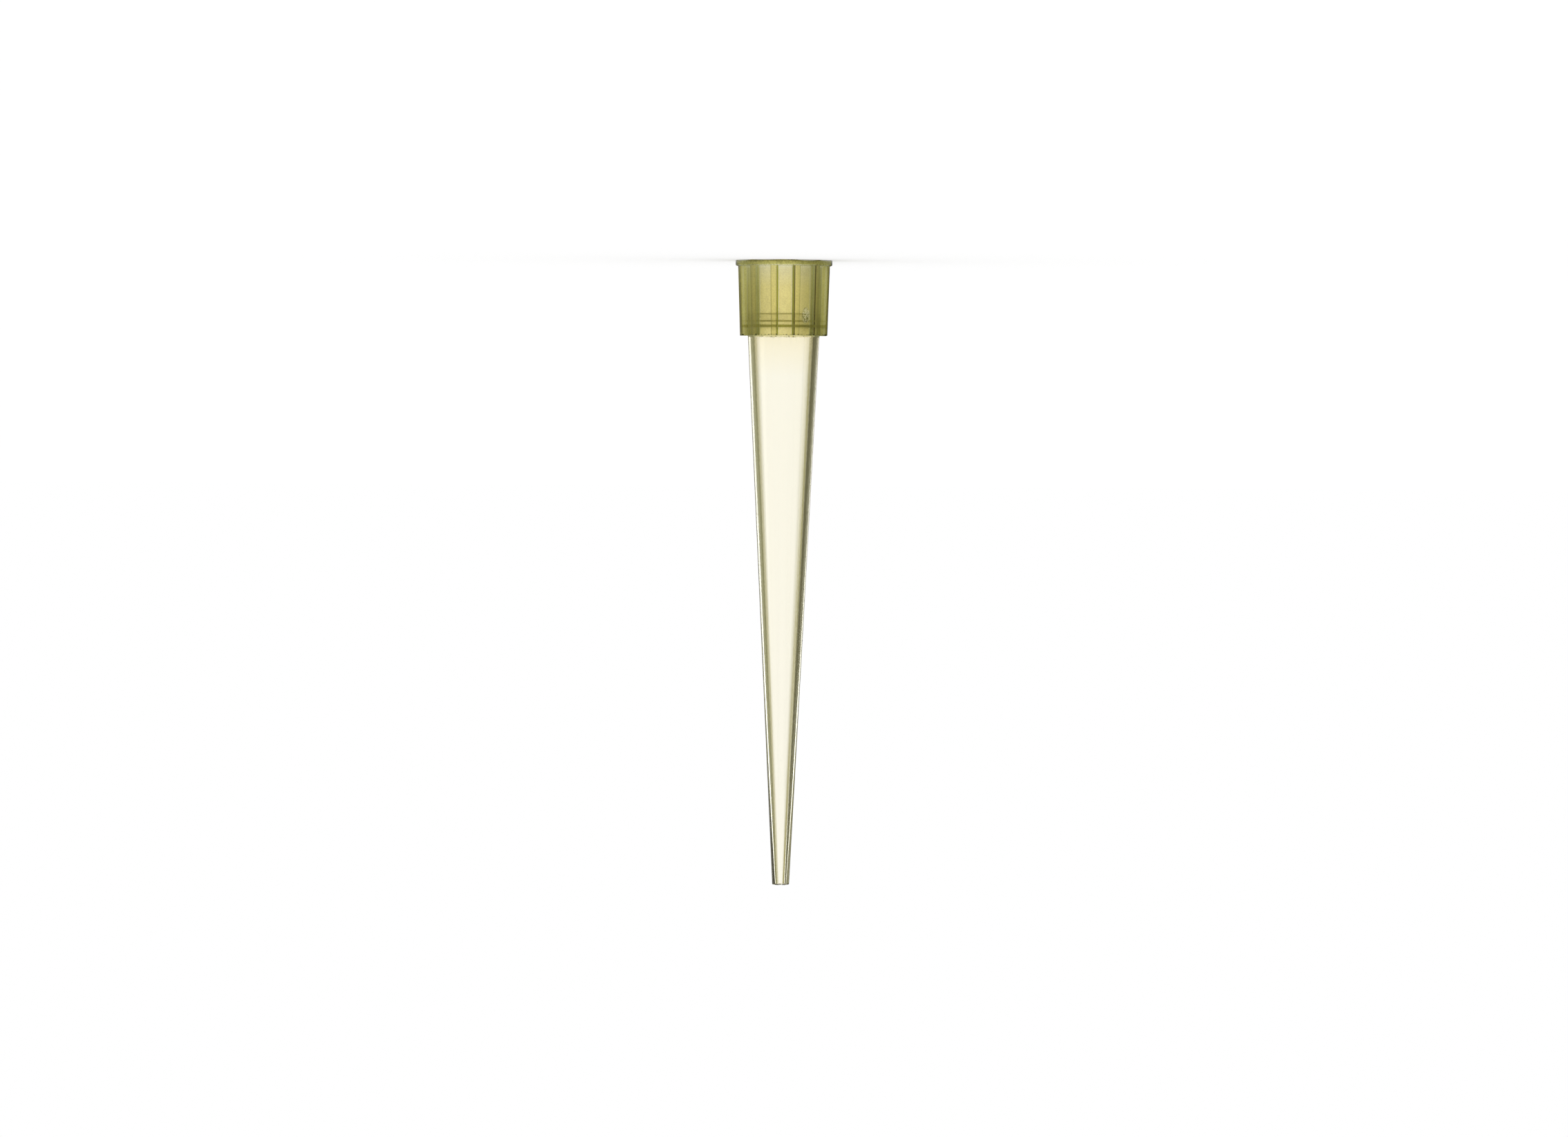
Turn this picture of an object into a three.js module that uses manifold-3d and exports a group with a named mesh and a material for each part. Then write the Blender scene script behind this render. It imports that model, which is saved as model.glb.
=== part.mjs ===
// A universal 200 microlitre pipette tip: one injection-moulded piece of tinted polypropylene.
//
// It stands on its mouth: z = 0 is the plane of the mouth, +Z runs along the axis to the point, and the
// axis is x = y = 0. Heights are distances from the mouth. Everything is in millimetres.

import * as THREE from "three";
import { mergeVertices } from "three/addons/utils/BufferGeometryUtils.js";
import Module from "manifold-3d";

// ---- Driving dimensions ----

const overallLength = 51;

// The socket holds a pipettor's nozzle. From the mouth inwards: a lead-in, a slow taper, a tapered
// seal step, a straight seal land, and a sloped floor down to the bore.
const mouthRadius = 2.76;
const mouthLeadIn = 0.15;
const socketTaper = 0.08;
const socketTaperEnd = 4.36;
const sealStep = 0.1;
const sealStepLength = 0.59;
const sealLandLength = 0.35;
const floorStep = 0.14;
const floorStepLength = 0.2;

// The hub is the collar's tube. It ends in a flat shoulder a little beyond the socket's floor.
const hubWallAtRim = 0.48;
const hubWallAtShoulder = 0.56;
const shoulderBeyondFloor = 0.66;
const shoulderWidth = 0.215;
const neckFilletRadius = 0.15;

// Fins stand on the hub from the flange to the shoulder, drafted in height and in width.
const finCount = 12;
const finHeightAtRim = 0.57;
const finHeightAtShoulder = 0.49;
const finWidthAtRim = 0.56;
const finWidthAtShoulder = 0.49;

// The flange round the mouth covers the ends of the fins.
const rimHeight = 0.46;
const rimOverhang = 0.14;
const rimEdgeRadius = 0.12;

// The cone runs straight from the neck to the cut-off point, and so does the bore inside it.
const orificeRadius = 0.3;
const pointWall = 0.39;

// ---- Facets ----

const sidesRound = 72;
const filletSteps = 3;
const coneRings = 6;

// ---- Derived sizes ----

const socketRadiusAtSeal = mouthRadius - socketTaper;
const sealLandRadius = socketRadiusAtSeal - sealStep;
const boreRadiusAtFloor = sealLandRadius - floorStep;

const sealStepEnd = socketTaperEnd + sealStepLength;
const floorStart = sealStepEnd + sealLandLength;
const floorEnd = floorStart + floorStepLength;
const collarHeight = floorEnd + shoulderBeyondFloor;

const hubRadiusAtRim = mouthRadius + hubWallAtRim;
const hubRadiusAtShoulder = sealLandRadius + hubWallAtShoulder;
const rimRadius = hubRadiusAtRim + finHeightAtRim + rimOverhang;

const coneRadiusAtShoulder = hubRadiusAtShoulder - shoulderWidth;
const coneRadiusAtPoint = orificeRadius + pointWall;

// ---- Helpers ----

const wasm = await Module();
wasm.setup();

// A closed three.js geometry as a manifold-3d solid.
function solidOf(geometry) {
  const bare = geometry.clone();
  bare.deleteAttribute("normal");
  bare.deleteAttribute("uv");
  const merged = mergeVertices(bare);
  return new wasm.Manifold(
    new wasm.Mesh({
      numProp: 3,
      vertProperties: merged.attributes.position.array,
      triVerts: new Uint32Array(merged.index.array),
    }),
  );
}

// A manifold-3d solid as a three.js geometry with flat faces.
function geometryOf(solid) {
  const mesh = solid.getMesh();
  const shared = new THREE.BufferGeometry();
  shared.setAttribute("position", new THREE.BufferAttribute(mesh.vertProperties, mesh.numProp));
  shared.setIndex(new THREE.BufferAttribute(mesh.triVerts, 1));
  const flat = shared.toNonIndexed();
  flat.computeVertexNormals();
  return flat;
}

const point = (radius, height) => new THREE.Vector2(radius, height);

// The points of an arc round a centre, both ends included.
function arc(centre, radius, fromDegrees, toDegrees) {
  const points = [];
  for (let step = 0; step <= filletSteps; step++) {
    const degrees = THREE.MathUtils.lerp(fromDegrees, toDegrees, step / filletSteps);
    const angle = THREE.MathUtils.degToRad(degrees);
    points.push(point(centre.x + radius * Math.cos(angle), centre.y + radius * Math.sin(angle)));
  }
  return points;
}

// The points along a straight wall in equal pieces, its first end left out and its last included.
function wall(from, to, pieces) {
  const points = [];
  for (let step = 1; step <= pieces; step++) points.push(from.clone().lerp(to, step / pieces));
  return points;
}

// ---- The section ----

// The outside, from the mouth to the point: flange, hub, shoulder, neck fillet and cone.
function outsideOfSection() {
  const rimEdgeCentre = point(rimRadius - rimEdgeRadius, rimHeight - rimEdgeRadius);
  const neckCentre = point(coneRadiusAtShoulder + neckFilletRadius, collarHeight + neckFilletRadius);
  const neck = arc(neckCentre, neckFilletRadius, 270, 180);
  return [
    point(rimRadius, 0),
    ...arc(rimEdgeCentre, rimEdgeRadius, 0, 90),
    point(hubRadiusAtRim, rimHeight),
    point(hubRadiusAtShoulder, collarHeight),
    ...neck,
    ...wall(neck.at(-1), point(coneRadiusAtPoint, overallLength), coneRings),
  ];
}

// The inside, from the point back to the mouth: bore, floor step, seal land, seal step and taper.
function insideOfSection() {
  const orifice = point(orificeRadius, overallLength);
  return [
    orifice,
    ...wall(orifice, point(boreRadiusAtFloor, floorEnd), coneRings),
    point(sealLandRadius, floorStart),
    point(sealLandRadius, sealStepEnd),
    point(socketRadiusAtSeal, socketTaperEnd),
    point(mouthRadius, mouthLeadIn),
    point(mouthRadius + mouthLeadIn, 0),
  ];
}

function makeTube() {
  const section = [...outsideOfSection(), ...insideOfSection()];
  section.push(section[0].clone());
  return new THREE.LatheGeometry(section, sidesRound).rotateX(Math.PI / 2);
}

// ---- The fins ----

// One fin along +X: a box whose corners are moved to those of the drafted fin. Its root lies inside
// the hub's wall, and its end near the mouth lies inside the flange.
function makeFin() {
  const fin = new THREE.BoxGeometry(1, 1, 1);
  const corners = fin.attributes.position;
  for (let i = 0; i < corners.count; i++) {
    const atShoulder = corners.getZ(i) > 0;
    const hub = atShoulder ? hubRadiusAtShoulder : hubRadiusAtRim;
    const root = hub - (atShoulder ? hubWallAtShoulder : hubWallAtRim) / 2;
    const crest = hub + (atShoulder ? finHeightAtShoulder : finHeightAtRim);
    const width = atShoulder ? finWidthAtShoulder : finWidthAtRim;
    const height = atShoulder ? collarHeight : rimHeight / 2;
    corners.setXYZ(i, corners.getX(i) > 0 ? crest : root, corners.getY(i) * width, height);
  }
  return fin;
}

// ---- The part ----

// The fins are spaced evenly, with the middle of a bare panel on each axis.
function makePipetteTip() {
  let solid = solidOf(makeTube());
  const pitch = (2 * Math.PI) / finCount;
  for (let i = 0; i < finCount; i++) {
    solid = solid.add(solidOf(makeFin().rotateZ((i + 0.5) * pitch)));
  }
  return geometryOf(solid);
}

const tintedPolypropylene = new THREE.MeshStandardMaterial({
  color: 0xd9cc86,
  roughness: 0.35,
  metalness: 0,
});

const pipetteTip = new THREE.Mesh(makePipetteTip(), tintedPolypropylene);
pipetteTip.name = "pipette_tip";

const part = new THREE.Group();
part.add(pipetteTip);

export default part;
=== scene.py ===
# %% [markdown]
# # A universal 200 microlitre pipette tip
# A pipette tip is one moulding of clear, slightly tinted polypropylene: a finned collar with a socket for
# the pipettor's nozzle, and a long thin cone with a straight bore. This notebook loads the solid model as
# a fixed frame, models the finished surface over it in the same place, and lights it like clear plastic.
# It stands on its mouth, point up, so +Z runs from the mouth to the point.

# %% Load the frame
import math
import bpy
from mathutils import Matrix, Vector


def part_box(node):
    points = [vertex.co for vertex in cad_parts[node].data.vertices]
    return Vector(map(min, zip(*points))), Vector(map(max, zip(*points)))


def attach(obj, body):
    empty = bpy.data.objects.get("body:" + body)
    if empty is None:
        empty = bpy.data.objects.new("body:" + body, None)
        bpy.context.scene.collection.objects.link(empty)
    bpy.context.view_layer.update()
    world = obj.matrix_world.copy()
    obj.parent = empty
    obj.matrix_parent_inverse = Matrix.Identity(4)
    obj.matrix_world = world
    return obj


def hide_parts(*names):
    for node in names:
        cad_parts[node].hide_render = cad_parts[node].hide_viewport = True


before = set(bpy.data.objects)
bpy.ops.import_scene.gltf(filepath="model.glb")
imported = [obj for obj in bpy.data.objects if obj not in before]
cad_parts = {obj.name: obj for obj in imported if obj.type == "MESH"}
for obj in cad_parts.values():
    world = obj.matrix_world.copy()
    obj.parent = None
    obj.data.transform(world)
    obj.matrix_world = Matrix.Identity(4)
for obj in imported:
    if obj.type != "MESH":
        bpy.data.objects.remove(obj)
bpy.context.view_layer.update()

NODE = "pipette_tip"
MM = 0.001
low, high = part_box(NODE)
LENGTH = (high.z - low.z) / MM
RIM = high.x / MM
print(f"the solid is {LENGTH:.2f} mm long and {2 * RIM:.2f} mm across its rim")

# %% [markdown]
# ## The camera
# A long lens a metre away keeps the tip's sides almost parallel, as a catalogue picture does. The camera
# is level, half-way up the tip, and rolled by half a turn, because catalogues show a tip with its collar
# at the top although it can only stand on it. A further third of a degree of roll gives its slight lean,
# and the camera stands a little off the middle of a panel between two fins.

# %% Place the camera
CAMERA_DISTANCE = 1.1
CAMERA_AZIMUTH = math.radians(2.0)
CAMERA_ROLL = math.radians(180 + 0.32)
PICTURE_WIDTH = 128.2 * MM
AXIS_LEFT_OF_CENTRE = 0.136 * MM
CENTRE_HEIGHT = 25.2 * MM

bpy.ops.object.select_all(action="DESELECT")
bpy.ops.object.camera_add()
camera = bpy.context.object
camera.name = "camera"
camera.data.sensor_width = 36
camera.data.lens = camera.data.sensor_width * CAMERA_DISTANCE / PICTURE_WIDTH
camera.data.clip_end = 10
backwards = Vector((math.sin(CAMERA_AZIMUTH), -math.cos(CAMERA_AZIMUTH), 0))
sideways = Vector((-math.cos(CAMERA_AZIMUTH), -math.sin(CAMERA_AZIMUTH), 0))
camera.location = backwards * CAMERA_DISTANCE + sideways * AXIS_LEFT_OF_CENTRE
camera.location.z = CENTRE_HEIGHT
camera.rotation_euler = (math.pi / 2, 0, CAMERA_AZIMUTH)
camera.rotation_euler.rotate_axis("Z", CAMERA_ROLL)
bpy.context.scene.camera = camera
print(f"lens {camera.data.lens:.0f} mm, {CAMERA_DISTANCE} m away")

# %% [markdown]
# ## The turned surfaces
# Apart from the collar's outside everything is round, so half of the section is drawn and spun, as a lathe
# would turn it. The outline runs from the shoulder down the cone to the point, back through the bore and
# the socket, and round the mouth to the top of the rim. Its sizes are those of the solid, in
# millimetres. A moulding has no razor edges, so each corner is also cut back and rounded a little, which
# is much easier on the flat outline than on finished rings.

# %% Name the section's corners
RIM_HEIGHT = 0.46
RIM_ROUND = 0.12
RIM_TOP_END = RIM - RIM_ROUND - 0.005
COLLAR_HEIGHT = 6.16
CONE_AT_SHOULDER = 2.925
SHOULDER_FILLET = 0.15
SHOULDER_START = CONE_AT_SHOULDER + SHOULDER_FILLET + 0.01
CONE_AT_POINT = 0.69
ORIFICE = 0.30

# radius, height, and how far the corner is cut back along both its sides
SECTION = [
    (SHOULDER_START, COLLAR_HEIGHT, 0),
    (CONE_AT_SHOULDER, COLLAR_HEIGHT, SHOULDER_FILLET),
    (CONE_AT_POINT, LENGTH, 0.04),
    (ORIFICE, LENGTH, 0.03),
    (2.44, 5.5, 0.03),
    (2.58, 5.3, 0.03),
    (2.58, 4.95, 0.03),
    (2.68, 4.36, 0.03),
    (2.76, 0.15, 0.03),
    (2.91, 0, 0.03),
    (RIM, 0, 0.04),
    (RIM, RIM_HEIGHT, RIM_ROUND),
    (RIM_TOP_END, RIM_HEIGHT, 0),
]
print(f"{len(SECTION)} corners in the section")

# %% [markdown]
# ## Drawing an outline by hand
# The outline starts as a plane merged to a single point, and each corner is extruded from the last one. A
# wall longer than half a millimetre also gets a point near each of its ends. These points stop the
# rounded corners from bending the shading of the whole wall, which clear plastic would show at once.

# %% Draw an outline through a list of corners
WALL_HOLD = 0.12

def start_outline(name):
    """Adds a one-point mesh at the origin and stays in edit mode."""
    bpy.ops.object.select_all(action="DESELECT")
    bpy.ops.mesh.primitive_plane_add(size=MM)
    outline = bpy.context.object
    outline.name = name
    bpy.ops.object.mode_set(mode="EDIT")
    bpy.ops.mesh.select_mode(type="VERT")
    bpy.ops.mesh.merge(type="CENTER")
    return outline

def draw_through(corners):
    """Moves the one point to the first corner and extrudes it through the others."""
    for number, corner in enumerate(corners):
        if number == 0:
            bpy.ops.transform.translate(value=corner)
        else:
            move = corner - corners[number - 1]
            stops = [1]
            if move.length > 0.5 * MM:
                hold = WALL_HOLD * MM / move.length
                stops = [hold, 1 - 2 * hold, hold]
            for stop in stops:
                bpy.ops.mesh.extrude_vertices_move(TRANSFORM_OT_translate={"value": move * stop})

def choose(piece, kind, test):
    """Selects in edit mode the vertices, edges or faces of a piece that pass a test."""
    bpy.ops.mesh.select_mode(type=kind)
    bpy.ops.mesh.select_all(action="DESELECT")
    bpy.ops.object.mode_set(mode="OBJECT")
    mesh = piece.data
    for item in {"VERT": mesh.vertices, "EDGE": mesh.edges, "FACE": mesh.polygons}[kind]:
        item.select = test(item)
    bpy.ops.object.mode_set(mode="EDIT")

# two places closer than this, in millimetres, are taken as one
TOUCHING = 0.002

def near(place):
    """A test for a vertex at a place, for use with choose."""
    return lambda vertex: (vertex.co - place).length < TOUCHING * MM

section = start_outline("turned_surfaces")
draw_through([Vector((radius, 0, height)) * MM for radius, height, cut in SECTION])
for radius, height, cut in SECTION:
    if cut:
        choose(section, "VERT", near(Vector((radius, 0, height)) * MM))
        bpy.ops.mesh.bevel(offset=cut * MM, segments=4, affect="VERTICES")
print(f"outline: {len(section.data.vertices)} points")

# %% [markdown]
# ## Spinning one twelfth
# The collar has twelve fins, so one sector of 30 degrees with a fin in its middle holds the whole shape. The
# outline is turned to one side of the sector and spun to the other. The long walls are cut into shorter
# pieces first, so that the faces don't become slivers 45 mm long.

# %% Spin the sector
FIN_COUNT = 12
SECTOR = 2 * math.pi / FIN_COUNT
SECTOR_STEPS = 40

def edge_length(piece, edge):
    """The length of a piece's edge in millimetres."""
    first, second = (piece.data.vertices[index].co for index in edge.vertices)
    return (first - second).length / MM

choose(section, "EDGE", lambda edge: edge_length(section, edge) > 2)
bpy.ops.mesh.subdivide(number_cuts=15)
bpy.ops.mesh.select_all(action="SELECT")
bpy.ops.transform.rotate(value=-SECTOR / 2, orient_axis="Z", center_override=(0, 0, 0))
bpy.ops.mesh.spin(steps=SECTOR_STEPS, angle=SECTOR, center=(0, 0, 0), axis=(0, 0, 1))
bpy.ops.object.mode_set(mode="OBJECT")
angles = [math.degrees(math.atan2(vertex.co.y, vertex.co.x)) for vertex in section.data.vertices]
print(f"sector from {min(angles):.2f} to {max(angles):.2f} degrees, {len(section.data.polygons)} faces")

# %% [markdown]
# ## The collar's outside
# Seen from the end the collar is a gear with twelve low teeth. One tooth and half of the panel on either side
# are drawn as a plan outline, with small cuts at the tooth's foot and crest for the radii of the mould.
# The plan is extruded from the rim up to the shoulder, and its far end is drawn in, because a
# moulding needs draft to leave its mould: there the hub is slimmer and the fin lower and thinner.

# %% Draw the plan of one fin and extrude it
HUB_AT_RIM = 3.24
HUB_AT_SHOULDER = 3.14
FIN_REACH_AT_RIM = 3.81
FIN_REACH_AT_SHOULDER = 3.63
FIN_WIDTH_AT_RIM = 0.56
FIN_WIDTH_AT_SHOULDER = 0.49
FIN_CREST_ROUND = 0.11
FIN_FOOT_ROUND = 0.06
PANEL_ANGLES = [15, 13.5, 12, 10.5, 9, 7.5]

def on_hub(degrees):
    """The place on the hub's lower ring at an angle from the fin's middle."""
    angle = math.radians(degrees)
    return Vector((HUB_AT_RIM * math.cos(angle), HUB_AT_RIM * math.sin(angle), RIM_HEIGHT)) * MM

half_width = FIN_WIDTH_AT_RIM / 2
foot = math.sqrt(HUB_AT_RIM ** 2 - half_width ** 2)
fin_corners = [Vector((x, y, RIM_HEIGHT)) * MM for x, y in (
    (foot, -half_width), (FIN_REACH_AT_RIM, -half_width), (FIN_REACH_AT_RIM, half_width), (foot, half_width))]
plan = [on_hub(-degrees) for degrees in PANEL_ANGLES] + fin_corners
plan += [on_hub(degrees) for degrees in reversed(PANEL_ANGLES)]

collar = start_outline("collar_outside")
for number, corner in enumerate(plan):
    if number == 0:
        bpy.ops.transform.translate(value=corner)
    else:
        bpy.ops.mesh.extrude_vertices_move(TRANSFORM_OT_translate={"value": corner - plan[number - 1]})
for corner in fin_corners:
    choose(collar, "VERT", near(corner))
    cut = FIN_CREST_ROUND if corner.x > 3.5 * MM else FIN_FOOT_ROUND
    bpy.ops.mesh.bevel(offset=cut * MM, segments=4, affect="VERTICES")
bpy.ops.mesh.select_all(action="SELECT")
rise = Vector((0, 0, COLLAR_HEIGHT - RIM_HEIGHT)) * MM
bpy.ops.mesh.extrude_region_move(TRANSFORM_OT_translate={"value": rise})

end = (0, 0, COLLAR_HEIGHT * MM)
draft = HUB_AT_SHOULDER / HUB_AT_RIM
bpy.ops.transform.resize(value=(draft, draft, 1), center_override=end)
choose(collar, "VERT", lambda vertex: vertex.co.z > 5 * MM and abs(vertex.co.y) < 0.39 * MM)
thinning = FIN_WIDTH_AT_SHOULDER / (FIN_WIDTH_AT_RIM * draft)
bpy.ops.transform.resize(value=(1, thinning, 1), center_override=end)
choose(collar, "VERT", lambda vertex: vertex.co.z > 5 * MM and vertex.co.x > 3.4 * MM)
bpy.ops.transform.translate(value=Vector((FIN_REACH_AT_SHOULDER - FIN_REACH_AT_RIM * draft, 0, 0)) * MM)
choose(collar, "EDGE", lambda edge: edge_length(collar, edge) > 5)
bpy.ops.mesh.subdivide(number_cuts=24)
bpy.ops.object.mode_set(mode="OBJECT")
print(f"collar sector: {len(collar.data.polygons)} faces")

# %% [markdown]
# ## Closing the sector
# The two meshes become one, and the flat faces that are still open are filled: the top of the rim round the
# fin's foot, and the shoulder round its far end. Each is one flat face between two chains of edges, whose
# ends are joined first so that the face has a closed edge to fill.

# %% Fill the rim and the shoulder
bpy.ops.object.select_all(action="DESELECT")
collar.select_set(True)
section.select_set(True)
bpy.context.view_layer.objects.active = section
bpy.ops.object.join()
tip = section
tip.name = "polypropylene_tip"
bpy.ops.object.mode_set(mode="EDIT")

def fill_ring(height, inner, outer):
    """Fills the flat ring sector at a height between two radii, round the fin's outline."""
    flat = lambda vertex: abs(vertex.co.z - height * MM) < TOUCHING * MM
    for side in (-1, 1):
        edge_angle = side * SECTOR / 2
        def at_edge(vertex):
            angle = math.atan2(vertex.co.y, vertex.co.x)
            radius = math.hypot(vertex.co.x, vertex.co.y) / MM
            on_seam = abs(angle - edge_angle) < 0.001
            return flat(vertex) and on_seam and inner - TOUCHING < radius < outer + TOUCHING
        choose(tip, "VERT", at_edge)
        bpy.ops.mesh.edge_face_add()
    def in_ring(edge):
        ends = [tip.data.vertices[index] for index in edge.vertices]
        radii = [math.hypot(vertex.co.x, vertex.co.y) / MM for vertex in ends]
        within = all(inner - TOUCHING < r < outer + TOUCHING for r in radii)
        return within and all(flat(vertex) for vertex in ends)
    choose(tip, "EDGE", in_ring)
    bpy.ops.mesh.edge_face_add()

fill_ring(RIM_HEIGHT, HUB_AT_RIM, RIM_TOP_END)
fill_ring(COLLAR_HEIGHT, SHOULDER_START, RIM)
bpy.ops.object.mode_set(mode="OBJECT")
print(f"closed sector: {len(tip.data.polygons)} faces")

# %% [markdown]
# ## Twelve sectors
# Spin can also copy instead of sweeping, which sets eleven more sectors round the axis. The whole is then
# turned by half a sector, so that bare panels face front, back and sides, and its seams are merged. The
# corners where the fins and the hub end at the shoulder get their small radius last.

# %% Copy the sector round the axis
bpy.ops.object.mode_set(mode="EDIT")
bpy.ops.mesh.select_all(action="SELECT")
bpy.ops.mesh.spin(
    steps=FIN_COUNT - 1, angle=SECTOR * (FIN_COUNT - 1), dupli=True, center=(0, 0, 0), axis=(0, 0, 1))
bpy.ops.mesh.select_all(action="SELECT")
bpy.ops.transform.rotate(value=SECTOR / 2, orient_axis="Z", center_override=(0, 0, 0))
bpy.ops.mesh.remove_doubles(threshold=TOUCHING * MM)
bpy.ops.mesh.normals_make_consistent(inside=False)
bpy.ops.object.mode_set(mode="OBJECT")
print(f"tip: {len(tip.data.vertices)} vertices, {len(tip.data.polygons)} faces")

# %% Round the far ends of the fins and the hub
SHOULDER_BEVEL = 0.03
SMOOTH_BELOW = math.radians(35)

def at_shoulder_edge(edge):
    ends = [tip.data.vertices[index].co for index in edge.vertices]
    flat = all(abs(place.z - COLLAR_HEIGHT * MM) < TOUCHING * MM for place in ends)
    return flat and all(math.hypot(place.x, place.y) > (SHOULDER_START + 0.02) * MM for place in ends)

bpy.ops.object.mode_set(mode="EDIT")
choose(tip, "EDGE", at_shoulder_edge)
bpy.ops.mesh.bevel(offset=SHOULDER_BEVEL * MM, segments=2, affect="EDGES")
bpy.ops.object.mode_set(mode="OBJECT")
bpy.ops.object.shade_smooth_by_angle(angle=SMOOTH_BELOW)
print(f"tip: {len(tip.data.vertices)} vertices, {len(tip.data.polygons)} faces")

# %% [markdown]
# ## The gate's scar
# Molten plastic enters the mould through a narrow gate, and when the tip is pushed out the gate tears off.
# Here it sat low on one panel of the collar, where it left a rough oval with a raised lip and a torn
# middle. The panel's faces there are cut finer, the lip is pulled out and the middle pushed in, and the
# torn plastic gets a little seeded unevenness along its normals.

# %% Tear the gate off one panel
SCAR_ANGLE = math.radians(-122.6)
SCAR_HEIGHT = 4.55
SCAR_HALF_WIDTH = 0.38
SCAR_HALF_HEIGHT = 0.66
SCAR_LIP = 0.05
SCAR_DEPTH = 0.04
SCAR_UNEVENNESS = 0.05
scar_outwards = Vector((math.cos(SCAR_ANGLE), math.sin(SCAR_ANGLE), 0))
scar_sideways = Vector((-math.sin(SCAR_ANGLE), math.cos(SCAR_ANGLE), 0))

def scar_reach(place):
    """How far a place is from the scar's middle: 1 on its rim, and far away for other panels."""
    if place.dot(scar_outwards) < 2.9 * MM:
        return 9
    return math.hypot(place.dot(scar_sideways) / MM / SCAR_HALF_WIDTH,
                      (place.z / MM - SCAR_HEIGHT) / SCAR_HALF_HEIGHT)

bpy.ops.object.mode_set(mode="EDIT")
choose(tip, "FACE", lambda face: scar_reach(face.center) < 1.25)
bpy.ops.mesh.subdivide(number_cuts=3)
choose(tip, "VERT", lambda vertex: 0.55 < scar_reach(vertex.co) < 0.95)
bpy.ops.transform.translate(value=scar_outwards * SCAR_LIP * MM)
choose(tip, "VERT", lambda vertex: scar_reach(vertex.co) < 0.45)
bpy.ops.transform.translate(value=scar_outwards * -SCAR_DEPTH * MM)
choose(tip, "VERT", lambda vertex: scar_reach(vertex.co) < 0.95)
bpy.ops.transform.vertex_random(offset=SCAR_UNEVENNESS * MM, uniform=0, normal=1, seed=7)
bpy.ops.mesh.vertices_smooth(factor=0.2)
bpy.ops.object.mode_set(mode="OBJECT")
print(f"scar: {sum(scar_reach(vertex.co) < 1 for vertex in tip.data.vertices)} vertices")

# %% [markdown]
# ## Worn edges
# The mouth's edge knocks against racks and the point is only thinly moulded, so neither circle is perfect.
# A few stretches of the mouth's outer edge are pulled in with proportional editing, which carries
# the neighbours along softly. The point's end gets a slight seeded unevenness, and the orifice a low lip,
# so the finished tip is a little less than a tenth of a millimetre longer than the solid.

# %% Wear the mouth and the point
# direction in degrees of each worn stretch, and how far it is worn back in millimetres
WORN = [(-150, 0.06), (-118, 0.07), (-64, 0.04), (-28, 0.06), (35, 0.05), (95, 0.06), (160, 0.05)]
MOUTH_EDGE = 3.93
POINT_BURR = 0.04
ORIFICE_LIP = 0.05

def near_edge(direction):
    """A test for vertices of the mouth's outer edge in a direction."""
    middle = Vector((math.cos(direction), math.sin(direction), 0)) * MOUTH_EDGE * MM
    return lambda vertex: vertex.co.z < 0.005 * MM and (vertex.co - middle).length < 0.35 * MM

bpy.ops.object.mode_set(mode="EDIT")
choose(tip, "VERT", lambda vertex: vertex.co.z < 1 * MM)
bpy.ops.mesh.hide(unselected=True)
for degrees, depth in WORN:
    choose(tip, "VERT", near_edge(math.radians(degrees)))
    bpy.ops.transform.translate(
        value=(0, 0, depth * MM), use_proportional_edit=True, proportional_edit_falloff="SMOOTH",
        proportional_size=0.9 * MM)
bpy.ops.mesh.reveal(select=False)
choose(tip, "VERT", lambda vertex: vertex.co.z > (LENGTH - 0.005) * MM)
bpy.ops.transform.vertex_random(offset=POINT_BURR * MM, uniform=0, normal=1, seed=3)
choose(tip, "VERT", lambda vertex: vertex.co.z > (LENGTH - 0.06) * MM and vertex.co.xy.length < 0.36 * MM)
bpy.ops.transform.translate(value=(0, 0, ORIFICE_LIP * MM))
bpy.ops.object.mode_set(mode="OBJECT")
lowest = min(vertex.co.z for vertex in tip.data.vertices) / MM
highest = max(vertex.co.z for vertex in tip.data.vertices) / MM
print(f"worn: from {lowest:.3f} to {highest:.3f} mm")

# %% [markdown]
# ## Helpers for node trees
# Materials and lights below are small networks of nodes. These helpers add one node each and hand back its
# output, so that a mask reads like a line of arithmetic.

# %% Helpers for node trees
def add_node(tree, kind, inputs=(), **settings):
    """Adds a node, sets its settings, and links or sets its inputs."""
    node = tree.nodes.new(kind)
    for key, value in settings.items():
        setattr(node, key, value)
    for socket, value in dict(inputs).items():
        if isinstance(value, bpy.types.NodeSocket):
            tree.links.new(value, node.inputs[socket])
        else:
            node.inputs[socket].default_value = value
    return node

def calculate(tree, operation, *values):
    """Adds a Math node and returns its output."""
    return add_node(tree, "ShaderNodeMath", enumerate(values), operation=operation).outputs[0]

def mix_colour(tree, factor, first, second):
    """Adds a colour Mix node and returns its output."""
    return add_node(tree, "ShaderNodeMix", {0: factor, 6: first, 7: second}, data_type="RGBA").outputs[2]

def fade(tree, value, start, end):
    """Rises from 0 where the value is start to 1 where it is end, and stays level outside."""
    return add_node(tree, "ShaderNodeMapRange", {0: value, 1: start, 2: end}).outputs[0]

def band(tree, value, low, high, soft):
    """Is 1 where the value lies between low and high, and fades to 0 over a soft edge."""
    rising = fade(tree, value, low - soft, low)
    falling = fade(tree, value, high + soft, high)
    return calculate(tree, "MINIMUM", rising, falling)

def ramp(tree, value, *stops):
    """Adds a Color Ramp through (position, grey level) stops and returns its colour."""
    node = add_node(tree, "ShaderNodeValToRGB", {0: value})
    elements = node.color_ramp.elements
    while len(elements) > 1:
        elements.remove(elements[-1])
    for number, (position, level) in enumerate(stops):
        element = elements[0] if number == 0 else elements.new(position)
        element.position, element.color = position, (level, level, level, 1)
    return node.outputs[0]

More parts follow.
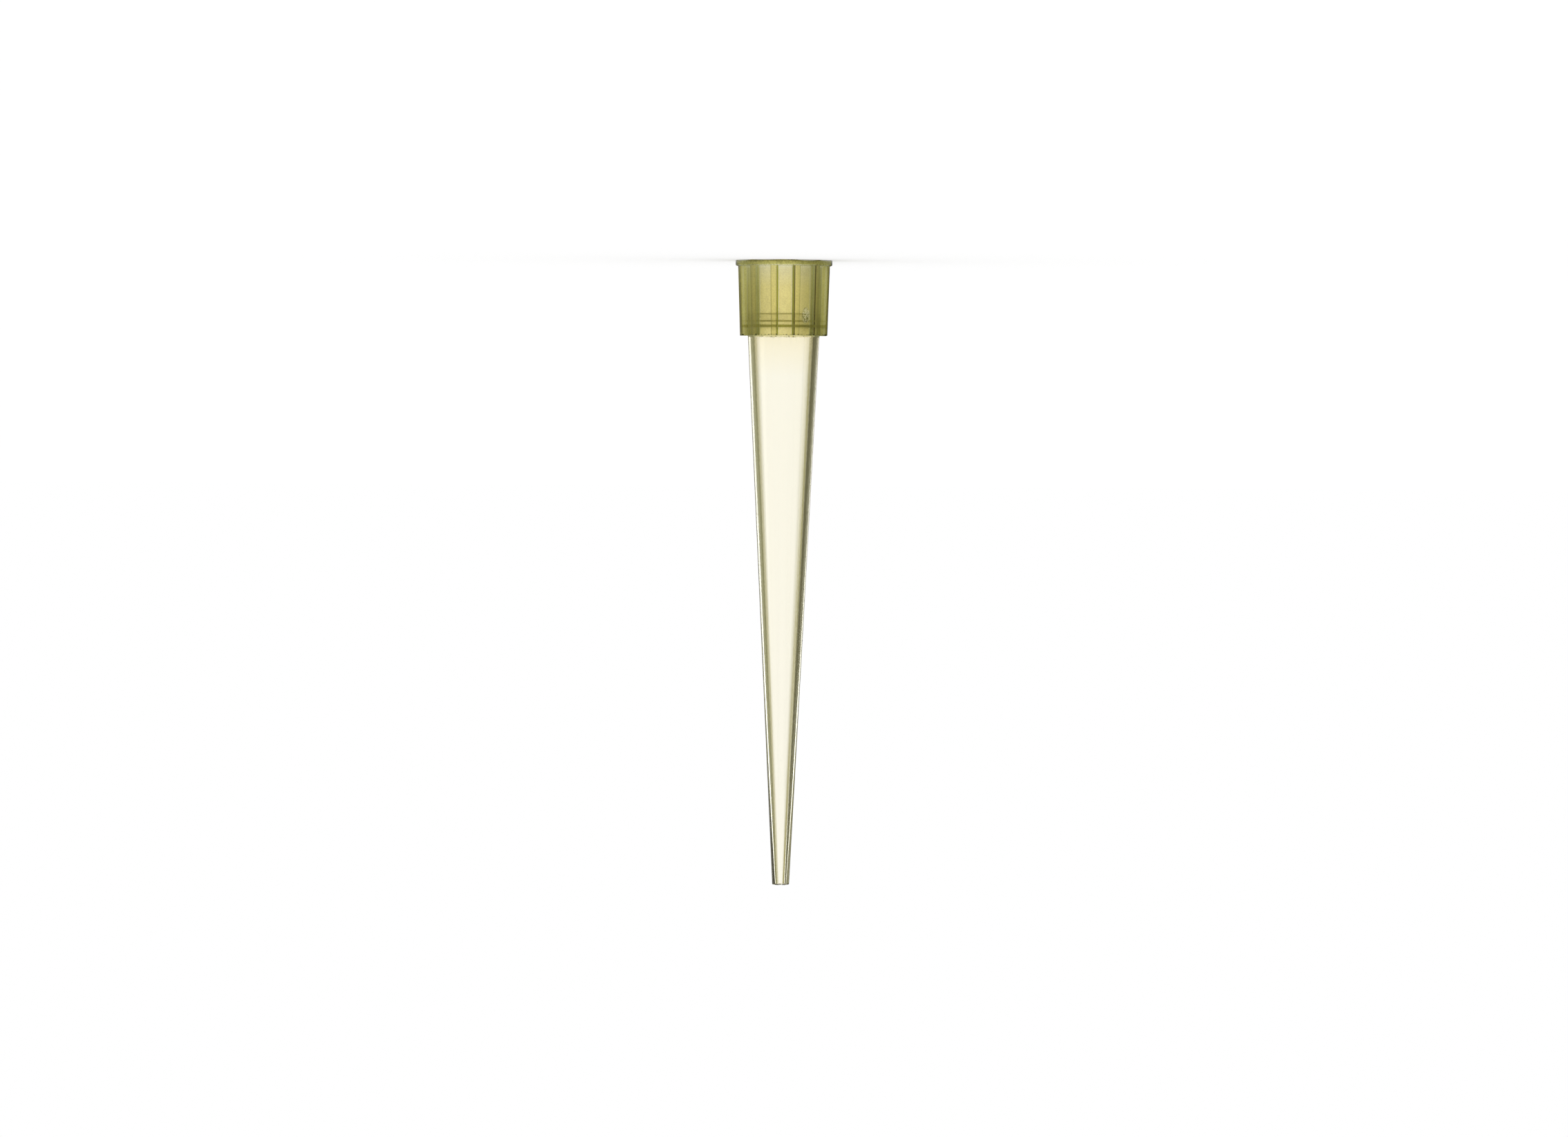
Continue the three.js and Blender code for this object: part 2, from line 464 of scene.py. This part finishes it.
# %% [markdown]
# ## Where a point of the plastic lies
# The tip is one closed piece of one plastic, and light bends right through it, so it has one material. Its
# different finishes are masks made from the Object coordinates: the height above the mouth, the distance
# from the axis, and the distance from the nearest fin's side, all in millimetres.

# %% Measure a point's place on the tip
material = bpy.data.materials.new("tinted_polypropylene")
material.use_nodes = True
tree = material.node_tree
object_place = add_node(tree, "ShaderNodeTexCoord").outputs["Object"]
place = add_node(tree, "ShaderNodeVectorMath", {0: object_place, 3: 1 / MM}, operation="SCALE").outputs[0]
split = add_node(tree, "ShaderNodeSeparateXYZ", {0: place})
height = split.outputs["Z"]
flat_place = add_node(tree, "ShaderNodeVectorMath", {0: place, 1: (1, 1, 0)}, operation="MULTIPLY").outputs[0]
radius = add_node(tree, "ShaderNodeVectorMath", {0: flat_place}, operation="LENGTH").outputs["Value"]
angle = calculate(tree, "ARCTAN2", split.outputs["Y"], split.outputs["X"])
fin_angle = calculate(tree, "WRAP", calculate(tree, "SUBTRACT", angle, SECTOR / 2), SECTOR / 2, -SECTOR / 2)
off_fin = calculate(tree, "MULTIPLY", radius, calculate(tree, "SINE", fin_angle))
beside_fin = calculate(tree, "ABSOLUTE", off_fin)
fin_slope = (FIN_WIDTH_AT_SHOULDER - FIN_WIDTH_AT_RIM) / (COLLAR_HEIGHT - RIM_HEIGHT) / 2
fin_side = calculate(tree, "MULTIPLY_ADD", height, fin_slope, FIN_WIDTH_AT_RIM / 2)
from_fin_side = calculate(tree, "SUBTRACT", beside_fin, fin_side)
print("masks start from height, radius, angle and distance from a fin's side")

# %% [markdown]
# ## Finishes, with painted light and shade
# The mould's cone is polished, and the plastic there is nearly clear. The collar's outside is lightly
# frosted by spark erosion, so it shows the plastic's tint, deeper in the thick fins and the rim, and
# deeper still with painted shade where it is seen at a slant. A painted glow makes it paler over the rim.
# Painted light lies in a fin's root and beside its foot, in a stripe along its side, in a fringe over the
# rim and on the rim itself, and painted shade draws dark lines along the fins' edges and ends, at the rim's
# ends and on the gate's side. The socket's wall is a little dull, and painted shade draws its steps as
# dark lines inside the socket and through the collar. The cut at the point is dull too.

# %% Choose the colours
POLISHED = (0.992, 0.975, 0.93, 1)
POLISHED_AT_NECK = (0.985, 0.945, 0.84, 1)
FROSTED = (0.91, 0.82, 0.40, 1)
# painted light: the frost is paler and whiter just over the rim, where light gathers from the rim
FROST_PAINTED_RIM_GLOW = (0.94, 0.90, 0.68, 1)
FIN_CREST = (0.86, 0.77, 0.28, 1)
FIN_SIDE = (0.92, 0.88, 0.48, 1)
# painted light in a stripe along each fin's side
FIN_SIDE_PAINTED_LIGHT = (1.0, 1.0, 0.82, 1)
# painted shade: dark lines along the fins' edges
FIN_EDGE_PAINTED_SHADE = (0.03, 0.02, 0.005, 1)
# painted shade: dark at the fins' ends and in dots along the shoulder
FIN_END_PAINTED_SHADE = (0.02, 0.02, 0.01, 1)
# a deeper tint with painted shade where the frost is seen at a slant; the crest turns almost black there,
# which is painted shade
FROSTED_TINT_AND_SHADE_AT_SLANT = (0.34, 0.38, 0.01, 1)
CREST_SHADE_AT_SLANT = (0.03, 0.03, 0.01, 1)
# painted light beside a fin's foot and in a fringe over the rim
PAINTED_FOOT_AND_FRINGE_LIGHT = (1.0, 0.99, 0.86, 1)
RIM_BODY = (0.24, 0.23, 0.04, 1)
RIM_BODY_PALE = (0.46, 0.44, 0.08, 1)
# dark dashes along the mouth's edge, and painted shade at the rim's ends
RIM_DARK = (0.03, 0.03, 0.01, 1)
# painted shade over a stretch of the collar on the gate's side
SIDE_PAINTED_SHADE = (0.64, 0.64, 0.54, 1)
# painted shade: dark lines at the socket's steps, inside and seen through the outer wall
STEP_PAINTED_SHADE = (0.16, 0.15, 0.01, 1)
STEP_PAINTED_SHADE_OUTSIDE = (0.46, 0.43, 0.08, 1)
# painted light and glints on the rim's face towards the fins
RIM_PAINTED_LIGHT = (0.90, 0.89, 0.62, 1)
SCAR_DARK = (0.20, 0.20, 0.05, 1)
# the torn middle is mottled between a dark tone and painted glints
SCAR_PAINTED_GLINT = (1.0, 0.99, 0.86, 1)
SPECK = (0.30, 0.28, 0.15, 1)
CUT_DARK = (0.22, 0.20, 0.09, 1)
# painted light in a fin's root
ROOT_PAINTED_LIGHT = (1.0, 0.96, 0.50, 1)

# height of the middle and half the height of each painted dark step line, and its strength inside and outside
STEP_LINES = [(4.41, 0.045, 0.85, 0.1), (5.00, 0.05, 0.95, 0.3), (5.41, 0.10, 1.0, 0.7)]
# angle in degrees, height, and radius of each dark grain in the cone's surface
SPECKS = [(-90, 14.1, 0.035), (-99, 24.6, 0.03), (-93, 31.2, 0.025), (-86, 40.9, 0.03)]

# Where the painted shade on the gate's side of the collar starts, and how strong it is along the way round
SIDE_SHADE_START = math.radians(-98)
SIDE_SHADE_STEPS = [(0, 0), (0.1, 0.7), (0.2, 1), (0.3, 1), (0.42, 0.35), (0.8, 0.35), (1, 0)]

# %% Mask the finishes and the painted light and shade
outside = calculate(tree, "GREATER_THAN", radius, 2.95)
collar_outside = calculate(tree, "MULTIPLY", outside, calculate(tree, "LESS_THAN", height, 6.175))
inside = calculate(tree, "LESS_THAN", radius, 2.8)
socket_wall = calculate(tree, "MULTIPLY", inside, calculate(tree, "LESS_THAN", height, 5.6))
rim = calculate(tree, "MULTIPLY", calculate(tree, "LESS_THAN", height, 0.47), fade(tree, radius, 3.2, 3.3))
rim_body = calculate(tree, "MULTIPLY", rim, fade(tree, height, 0.46, 0.37))
above_rim = calculate(tree, "GREATER_THAN", height, 0.47)
crest_slope = (FIN_REACH_AT_SHOULDER - FIN_REACH_AT_RIM) / (COLLAR_HEIGHT - RIM_HEIGHT)
from_crest = calculate(tree, "MULTIPLY_ADD", height, -crest_slope, -FIN_REACH_AT_RIM)
from_crest = calculate(tree, "ADD", radius, from_crest)
crest = calculate(tree, "MULTIPLY", fade(tree, from_crest, -0.06, -0.03), above_rim)
on_side = calculate(tree, "MULTIPLY", band(tree, from_fin_side, -0.015, 0.015, 0.01), above_rim)
fin_side_mask = calculate(tree, "MULTIPLY", on_side, fade(tree, from_crest, -0.03, -0.06))
# the painted edge shade is full on one side of each fin and a fifth as strong on the other
edge_shade_by_side = calculate(tree, "MULTIPLY_ADD", fade(tree, off_fin, -0.1, 0.1), 0.8, 0.2)
# painted light: a stripe along the fin's side, just under the crest
painted_stripe_light = band(tree, from_crest, -0.23, -0.16, 0.05)
# painted shade along the edges of each fin's crest
painted_fin_edge_shade = calculate(tree, "MULTIPLY", crest, band(tree, from_fin_side, -0.08, 0.05, 0.01))
painted_fin_edge_shade = calculate(tree, "MULTIPLY", painted_fin_edge_shade, edge_shade_by_side)
# painted shade at the far end of each fin
painted_fin_end_shade = band(tree, from_fin_side, -0.05, 0.05, 0.01)
painted_fin_end_shade = calculate(tree, "MULTIPLY", painted_fin_end_shade, fade(tree, height, 6.04, 6.08))
painted_fin_end_shade = calculate(tree, "MULTIPLY", painted_fin_end_shade, fade(tree, from_crest, -0.16, -0.1))
# painted light: a thin pale line on the panel beside each fin's foot
foot = band(tree, from_fin_side, 0.03, 0.07, 0.02)
foot = calculate(tree, "MULTIPLY", foot, fade(tree, from_crest, -0.45, -0.5))
foot = calculate(tree, "MULTIPLY", foot, above_rim)
# painted glow: full at the rim, fading out by 2.2 mm above the mouth
painted_rim_glow = fade(tree, height, 2.2, 0.5)
neck = fade(tree, height, 9.5, 6.2)
# painted shade on the gate's side, over a hundred degrees round the collar
into_side_shade = calculate(tree, "WRAP", calculate(tree, "SUBTRACT", SIDE_SHADE_START, angle), 2 * math.pi, 0)
painted_side_shade = ramp(tree, calculate(tree, "DIVIDE", into_side_shade, math.radians(100)), *SIDE_SHADE_STEPS)
# painted shade along the socket's steps, on the socket wall and on the collar's outside
steps, painted_step_shade_outside = 0.0, 0.0
for middle, half, strength, outer_strength in STEP_LINES:
    line = band(tree, height, middle - half, middle + half, 0.03)
    steps = calculate(tree, "MAXIMUM", steps, calculate(tree, "MULTIPLY", line, strength))
    painted_step_shade_outside = calculate(tree, "MAXIMUM", painted_step_shade_outside, calculate(tree, "MULTIPLY", line, outer_strength))
steps = calculate(tree, "MULTIPLY", steps, inside)
scar_middle = scar_outwards * HUB_AT_RIM + Vector((0, 0, SCAR_HEIGHT))
scar_size = (SCAR_HALF_WIDTH, SCAR_HALF_WIDTH, SCAR_HALF_HEIGHT)
from_scar = add_node(tree, "ShaderNodeVectorMath", {0: place, 1: scar_middle}, operation="SUBTRACT")
from_scar = from_scar.outputs[0]
from_scar = add_node(tree, "ShaderNodeVectorMath", {0: from_scar, 1: scar_size}, operation="DIVIDE")
from_scar = from_scar.outputs[0]
from_scar = add_node(tree, "ShaderNodeVectorMath", {0: from_scar}, operation="LENGTH").outputs["Value"]
scar = calculate(tree, "MULTIPLY", fade(tree, from_scar, 1.1, 0.8), collar_outside)
cut = fade(tree, height, LENGTH - 0.1, LENGTH - 0.04)
cut = calculate(tree, "MULTIPLY", cut, fade(tree, radius, 0.58, 0.64))

def cone_radius(at_height):
    """The cone's outside radius at a height, in millimetres."""
    share = (at_height - COLLAR_HEIGHT) / (LENGTH - COLLAR_HEIGHT)
    return CONE_AT_SHOULDER + share * (CONE_AT_POINT - CONE_AT_SHOULDER)

specks = 0.0
for speck_angle, speck_height, size in SPECKS:
    turn = math.radians(speck_angle)
    reach = cone_radius(speck_height)
    middle = (reach * math.cos(turn), reach * math.sin(turn), speck_height)
    apart = add_node(tree, "ShaderNodeVectorMath", {0: place, 1: middle}, operation="DISTANCE")
    apart = apart.outputs["Value"]
    specks = calculate(tree, "MAXIMUM", specks, fade(tree, apart, size, size / 2))
print(f"{len(STEP_LINES)} step lines, {len(SPECKS)} specks")

# %% [markdown]
# ## Grain
# Spark erosion leaves a fine, even grain of pits a tenth of a millimetre across. A noise in millimetres
# varies the frost's tint and bends the light a little through a Bump node. The polished cone gets a
# weaker and coarser unevenness, which breaks up the straight edges of its bands. The same noises
# break up the rim and its painted glints, the fringe of painted light, the dots of painted shade at the
# shoulder, the dark dashes along the mouth and the torn middle of the scar.

# %% Make the grain
grain = add_node(tree, "ShaderNodeTexNoise", {"Vector": place, "Scale": 9.0, "Detail": 3.0, "Roughness": 0.6})
grain = grain.outputs["Fac"]
blotches = add_node(tree, "ShaderNodeTexNoise", {"Vector": place, "Scale": 1.3, "Detail": 2.0}).outputs["Fac"]
cone_noise = add_node(tree, "ShaderNodeTexNoise", {"Vector": place, "Scale": 6.0, "Detail": 3.0})
cone_noise = cone_noise.outputs["Fac"]
shade = calculate(tree, "MULTIPLY_ADD", calculate(tree, "SUBTRACT", grain, 0.5), 0.9, 1.0)
shade = calculate(tree, "MULTIPLY_ADD", calculate(tree, "SUBTRACT", blotches, 0.5), 0.25, shade)

scar_noise = add_node(tree, "ShaderNodeTexNoise", {"Vector": place, "Scale": 6.5, "Detail": 2.0})
torn = fade(tree, scar_noise.outputs["Fac"], 0.43, 0.51)
mottle = fade(tree, cone_noise, 0.38, 0.6)
# painted glints, scattered by the grain
painted_glints = fade(tree, grain, 0.4, 0.52)
# painted shade: dark dots along the shoulder, broken up by noise
painted_dot_shade = calculate(tree, "MULTIPLY", fade(tree, height, 6.05, 6.09), fade(tree, cone_noise, 0.56, 0.61))
rim_dashes = calculate(tree, "MULTIPLY", rim, fade(tree, height, 0.09, 0.05))
rim_dashes = calculate(tree, "MULTIPLY", rim_dashes, fade(tree, cone_noise, 0.48, 0.54))
# painted light: a grainy pale fringe just over the rim
painted_fringe_light = calculate(tree, "MULTIPLY", band(tree, height, 0.47, 0.6, 0.04), fade(tree, from_crest, -0.4, -0.45))
painted_fringe_light = calculate(tree, "MULTIPLY", painted_fringe_light, fade(tree, grain, 0.44, 0.54))

# %% Mix the colour
facing = add_node(tree, "ShaderNodeLayerWeight", {"Blend": 0.5}).outputs["Facing"]
# a deeper tint and painted shade where the frost is seen at a slant
slant = ramp(tree, facing, (0, 0), (0.1, 0.07), (0.3, 0.26), (0.6, 0.6), (0.9, 1))
slant = calculate(tree, "MULTIPLY", slant, above_rim)
# painted shade: the fins' crests go nearly black at a slant
crest_slant_shade = ramp(tree, facing, (0, 0), (0.1, 0.08), (0.3, 0.28), (0.7, 0.45), (0.84, 1))
crest_slant_shade = calculate(tree, "MULTIPLY", crest_slant_shade, crest)
# painted shade on a fin's sides where they are seen at a slant
side_slant_shade = calculate(tree, "MULTIPLY", ramp(tree, facing, (0.06, 0), (0.3, 0.5), (0.7, 1)), fin_side_mask)
frost = mix_colour(tree, painted_rim_glow, FROSTED, FROST_PAINTED_RIM_GLOW)
frost = mix_colour(tree, crest, frost, FIN_CREST)
frost = mix_colour(tree, fin_side_mask, frost, mix_colour(tree, painted_stripe_light, FIN_SIDE, FIN_SIDE_PAINTED_LIGHT))
frost = mix_colour(tree, foot, frost, PAINTED_FOOT_AND_FRINGE_LIGHT)
frost = mix_colour(tree, slant, frost, FROSTED_TINT_AND_SHADE_AT_SLANT)
side_slant_shade = calculate(tree, "MULTIPLY", side_slant_shade, fade(tree, from_crest, -0.46, -0.36))
# painted light low on a fin's side, in its root
root = calculate(tree, "MULTIPLY", fin_side_mask, fade(tree, from_crest, -0.38, -0.46))
frost = mix_colour(tree, root, frost, ROOT_PAINTED_LIGHT)
frost = mix_colour(tree, side_slant_shade, frost, FROSTED_TINT_AND_SHADE_AT_SLANT)
frost = mix_colour(tree, crest_slant_shade, frost, CREST_SHADE_AT_SLANT)
# the painted edge shade shows only where the surface faces the view nearly square on
painted_fin_edge_shade = calculate(tree, "MULTIPLY", painted_fin_edge_shade, fade(tree, facing, 0.2, 0.08))
frost = mix_colour(tree, painted_fin_edge_shade, frost, FIN_EDGE_PAINTED_SHADE)
frost = mix_colour(tree, painted_fin_end_shade, frost, FIN_END_PAINTED_SHADE)
frost = mix_colour(tree, painted_dot_shade, frost, FIN_END_PAINTED_SHADE)
# on the outside, the painted step shade fades where the collar is seen at a steep slant
painted_step_shade_outside = calculate(tree, "MULTIPLY", painted_step_shade_outside, fade(tree, facing, 0.8, 0.55))
frost = mix_colour(tree, painted_step_shade_outside, frost, STEP_PAINTED_SHADE_OUTSIDE)
frost = mix_colour(tree, painted_fringe_light, frost, PAINTED_FOOT_AND_FRINGE_LIGHT)
# painted light and glints on the rim, which stay only near its face towards the fins
frost = mix_colour(tree, rim, frost, mix_colour(tree, painted_glints, RIM_BODY_PALE, RIM_PAINTED_LIGHT))
frost = mix_colour(tree, rim_body, frost, mix_colour(tree, mottle, RIM_BODY, RIM_BODY_PALE))
frost = mix_colour(tree, rim_dashes, frost, RIM_DARK)
# painted shade at both ends of the rim, where it is seen at a slant
painted_rim_end_shade = calculate(tree, "MULTIPLY", rim, fade(tree, facing, 0.62, 0.82))
frost = mix_colour(tree, painted_rim_end_shade, frost, RIM_DARK)
# painted shade darkens and greys the collar on the gate's side
side_shaded = add_node(tree, "ShaderNodeVectorMath", {0: frost, 1: SIDE_PAINTED_SHADE[:3]}, operation="MULTIPLY")
frost = mix_colour(tree, painted_side_shade, frost, side_shaded.outputs[0])
# the torn middle of the scar: noise mixes a dark tone with painted glints
frost = mix_colour(tree, scar, frost, mix_colour(tree, torn, SCAR_DARK, SCAR_PAINTED_GLINT))
grained = add_node(tree, "ShaderNodeVectorMath", {0: frost, 3: shade}, operation="SCALE").outputs[0]
polished = mix_colour(tree, neck, POLISHED, POLISHED_AT_NECK)
base = mix_colour(tree, collar_outside, polished, grained)
base = mix_colour(tree, steps, base, STEP_PAINTED_SHADE)
base = mix_colour(tree, specks, base, SPECK)
base = mix_colour(tree, calculate(tree, "MULTIPLY", cut, fade(tree, cone_noise, 0.5, 0.58)), base, CUT_DARK)

# %% Mix the roughness and the relief
POLISH_ROUGHNESS = 0.03
FROST_ROUGHNESS = 0.36
SOCKET_ROUGHNESS = 0.4
FIN_SIDE_ROUGHNESS = 0.6
CUT_ROUGHNESS = 0.7
CONE_RELIEF = 0.3
RELIEF_STRENGTH = 0.35
RELIEF_DEPTH = 0.02
added = FROST_ROUGHNESS - POLISH_ROUGHNESS
roughness = calculate(tree, "MULTIPLY_ADD", collar_outside, added, POLISH_ROUGHNESS)
added = SOCKET_ROUGHNESS - POLISH_ROUGHNESS
roughness = calculate(tree, "MULTIPLY_ADD", socket_wall, added, roughness)
cut_face = fade(tree, height, LENGTH - 0.05, LENGTH - 0.02)
roughness = calculate(tree, "MULTIPLY_ADD", cut_face, CUT_ROUGHNESS - POLISH_ROUGHNESS, roughness)
rougher = calculate(tree, "MAXIMUM", fin_side_mask, calculate(tree, "SUBTRACT", rim, rim_body))
roughness = calculate(tree, "MULTIPLY_ADD", rougher, FIN_SIDE_ROUGHNESS - FROST_ROUGHNESS, roughness)
relief = calculate(tree, "MULTIPLY", grain, collar_outside)
relief = calculate(tree, "MULTIPLY_ADD", cone_noise, CONE_RELIEF, relief)
bump_inputs = {"Height": relief, "Strength": RELIEF_STRENGTH, "Distance": RELIEF_DEPTH * MM}
bump = add_node(tree, "ShaderNodeBump", bump_inputs)

# %% [markdown]
# ## The plastic
# The surface is Principled glass with polypropylene's refractive index. The tint also lies in the volume:
# a Volume Absorption node takes out more blue the longer light travels in the wall.

# %% Build the material
PLASTIC_IOR = 1.49
PLASTIC_TINT = (0.86, 0.87, 0.38, 1)
# per metre, as the scene is in metres
PLASTIC_DENSITY = 130.0

shader = tree.nodes["Principled BSDF"]
tree.links.new(base, shader.inputs["Base Color"])
tree.links.new(roughness, shader.inputs["Roughness"])
tree.links.new(bump.outputs["Normal"], shader.inputs["Normal"])
shader.inputs["IOR"].default_value = PLASTIC_IOR
shader.inputs["Transmission Weight"].default_value = 1
tint = {"Color": PLASTIC_TINT, "Density": PLASTIC_DENSITY}
absorption = add_node(tree, "ShaderNodeVolumeAbsorption", tint)
tree.links.new(absorption.outputs[0], tree.nodes["Material Output"].inputs["Volume"])
tip.data.materials.append(material)

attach(tip, "root")
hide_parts(NODE)
print(f"{material.name}: {len(tree.nodes)} nodes")

# %% [markdown]
# ## Light for clear plastic
# Clear plastic shows little but the light behind it, so a studio puts it before a white panel with dark
# cards beside the panel: the cards draw the dark lines along its walls. This group gives the light
# for a direction: white panels, a quarter turn apart, with cards between them. The front, the back and
# both sides look at a panel, but a level view from a diagonal looks at the cards, and the cone turns
# tan there. The cards are tinted, and those on the +X side are paler. Light that crossed both walls,
# light that was mirrored inside one wall, and light that crossed a solid edge each see cards of their own
# depth. This is no real studio: the light inside one wall is brighter than white, to draw the thin
# white lines along the cone.

# %% Choose the panels and cards
PANEL_TURN = 0.7
WALL_PANEL_TURN = 5.0
PANEL_LIGHT = (1.09, 1.09, 1.09, 1)
THROUGH_DARK = (0.34, 0.31, 0.10, 1)
THROUGH_PALE = (0.58, 0.55, 0.36, 1)
WALL_DARK = (0.15, 0.142, 0.08, 1)
WALL_PALE = (0.27, 0.26, 0.13, 1)
WALL_BEHIND = (0.5, 0.49, 0.42, 1)
WALL_LIGHT = (1.85, 1.83, 1.76, 1)
EDGE_DARK = (0.03, 0.026, 0.016, 1)
EDGE_PALE = (0.26, 0.245, 0.155, 1)
UNDER_LIGHT = (1.0, 1.0, 0.97, 1)
MIRRORED_TWICE = (0.7, 0.7, 0.66, 1)
MIRROR_DARK = (0.12, 0.115, 0.10, 1)
MIRROR_PALE = (0.34, 0.34, 0.32, 1)
OPEN_WHITE = (1, 1, 1, 1)

# %% Build the light panels
panels = bpy.data.node_groups.new("light_panels", "ShaderNodeTree")
panels.interface.new_socket(name="Direction", in_out="INPUT", socket_type="NodeSocketVector")
for name in ("Near", "Under", "Transmitted", "Mirrored"):
    panels.interface.new_socket(name=name, in_out="INPUT", socket_type="NodeSocketFloat")
panels.interface.new_socket(name="Color", in_out="OUTPUT", socket_type="NodeSocketColor")
entry = add_node(panels, "NodeGroupInput")
split = add_node(panels, "ShaderNodeSeparateXYZ", {0: entry.outputs["Direction"]})
heading = calculate(panels, "ARCTAN2", split.outputs[0], split.outputs[1])
degrees = calculate(panels, "MULTIPLY", heading, 180 / math.pi)

def from_panel(turn):
    """How far the direction is from the middle of the nearest panel: 0 there, 1 half-way to the next."""
    offset = calculate(panels, "WRAP", calculate(panels, "SUBTRACT", degrees, turn), 45, -45)
    return calculate(panels, "DIVIDE", calculate(panels, "ABSOLUTE", offset), 45)

wide_steps = [(0, 1), (0.23, 1), (0.29, 0.75), (0.36, 0.5), (0.44, 0.1), (0.5, 0)]
wide = ramp(panels, from_panel(PANEL_TURN), *wide_steps)
wide = calculate(panels, "MAXIMUM", wide, entry.outputs["Near"])
narrow = ramp(panels, from_panel(WALL_PANEL_TURN), (0, 1), (0.22, 1), (0.31, 0))
side = calculate(panels, "MULTIPLY_ADD", calculate(panels, "SINE", heading), 0.9, 0.5)
side.node.use_clamp = True
through = mix_colour(panels, wide, mix_colour(panels, side, THROUGH_DARK, THROUGH_PALE), PANEL_LIGHT)
wall = mix_colour(panels, narrow, mix_colour(panels, side, WALL_DARK, WALL_PALE), WALL_LIGHT)
behind = calculate(panels, "MULTIPLY", calculate(panels, "COSINE", heading), -1.6)
behind.node.use_clamp = True
wall = mix_colour(panels, behind, wall, WALL_BEHIND)
edge = mix_colour(panels, side, EDGE_DARK, EDGE_PALE)
entered = calculate(panels, "GREATER_THAN", entry.outputs["Transmitted"], 0.5)
crossed = calculate(panels, "GREATER_THAN", entry.outputs["Transmitted"], 2.5)
mirrored = calculate(panels, "GREATER_THAN", entry.outputs["Mirrored"], 0.5)
one_wall = mix_colour(panels, mirrored, edge, wall)
both_walls = mix_colour(panels, mirrored, through, MIRRORED_TWICE)
not_entered = mix_colour(panels, mirrored, OPEN_WHITE, mix_colour(panels, side, MIRROR_DARK, MIRROR_PALE))
colour = mix_colour(panels, entered, not_entered, mix_colour(panels, crossed, one_wall, both_walls))
colour = mix_colour(panels, entry.outputs["Under"], colour, UNDER_LIGHT)
add_node(panels, "NodeGroupOutput", {0: colour})

def place_panels(tree, direction, near=0.0, under=0.0):
    """Adds the light panels to a tree with a Light Path node, and returns their colour and that node."""
    path = add_node(tree, "ShaderNodeLightPath")
    glow = add_node(tree, "ShaderNodeGroup", node_tree=panels)
    tree.links.new(direction, glow.inputs["Direction"])
    tree.links.new(path.outputs["Transmission Depth"], glow.inputs["Transmitted"])
    tree.links.new(path.outputs["Glossy Depth"], glow.inputs["Mirrored"])
    for name, value in (("Near", near), ("Under", under)):
        if value:
            tree.links.new(value, glow.inputs[name])
    return glow.outputs["Color"], path

print(f"light panels: {len(panels.nodes)} nodes")

# %% [markdown]
# ## The floor
# A plain white floor that keeps the tip's soft shadow. Seen directly it is a diffuse surface with a little
# light of its own, and light that has passed through the plastic sees it as part of the panels
# and cards. Close to the tip the panels' white reaches all round, and it fades out softly farther off,
# because a hard end would show through the cone as a border. Right under the mouth even the light that
# runs along inside the walls meets white.

# %% Lay the floor
FLOOR_SIZE = 6
FLOOR_GREY = (0.8, 0.8, 0.8, 1)
FLOOR_GLOW = 0.21
# in metres: the panels' white reaches all round up to the first, and fades out towards the second
NEAR_FLOOR = 0.12
FAR_FLOOR = 0.9
UNDER_MOUTH = 0.012

bpy.ops.object.select_all(action="DESELECT")
bpy.ops.mesh.primitive_plane_add(size=FLOOR_SIZE, location=(0, 0, 0))
floor = bpy.context.object
floor.name = "floor"
floor_material = bpy.data.materials.new("floor")
floor_material.use_nodes = True
tree = floor_material.node_tree
tree.nodes.clear()
place = add_node(tree, "ShaderNodeTexCoord").outputs["Object"]
distance = add_node(tree, "ShaderNodeVectorMath", {0: place}, operation="LENGTH").outputs["Value"]
near_tip = fade(tree, distance, FAR_FLOOR, NEAR_FLOOR)
under_mouth = calculate(tree, "LESS_THAN", distance, UNDER_MOUTH)
panel_colour, path = place_panels(tree, place, near_tip, under_mouth)
glowing = add_node(tree, "ShaderNodeEmission", {"Color": panel_colour})
diffuse = add_node(tree, "ShaderNodeBsdfDiffuse", {"Color": FLOOR_GREY})
sheen = add_node(tree, "ShaderNodeEmission", {"Strength": FLOOR_GLOW})
plain = add_node(tree, "ShaderNodeAddShader", {0: diffuse.outputs[0], 1: sheen.outputs[0]})
bounces = calculate(tree, "ADD", path.outputs["Transmission Depth"], path.outputs["Glossy Depth"])
bounced = calculate(tree, "GREATER_THAN", bounces, 0.5)
surface = add_node(tree, "ShaderNodeMixShader", {0: bounced, 1: plain.outputs[0], 2: glowing.outputs[0]})
add_node(tree, "ShaderNodeOutputMaterial", {"Surface": surface.outputs[0]})
floor.data.materials.append(floor_material)
print(f"floor: {FLOOR_SIZE} m square")

# %% [markdown]
# ## The studio
# The world is the rest of the studio: plain white where the camera sees it directly, and the same panels
# and cards for light that comes through the plastic. The Standard view keeps white as white.

# %% Light the studio
world = bpy.data.worlds.new("studio")
bpy.context.scene.world = world
world.use_nodes = True
world.cycles.sampling_method = "NONE"
tree = world.node_tree
direction = add_node(tree, "ShaderNodeTexCoord").outputs["Generated"]
panel_colour, path = place_panels(tree, direction)
tree.links.new(panel_colour, tree.nodes["Background"].inputs["Color"])
bpy.context.scene.view_settings.view_transform = "Standard"
print("world and view are set")

# %% [markdown]
# ## Finish
# It is no wider, and only taller by the point's uneven end and its lip.

# %% Finish
print("finished")
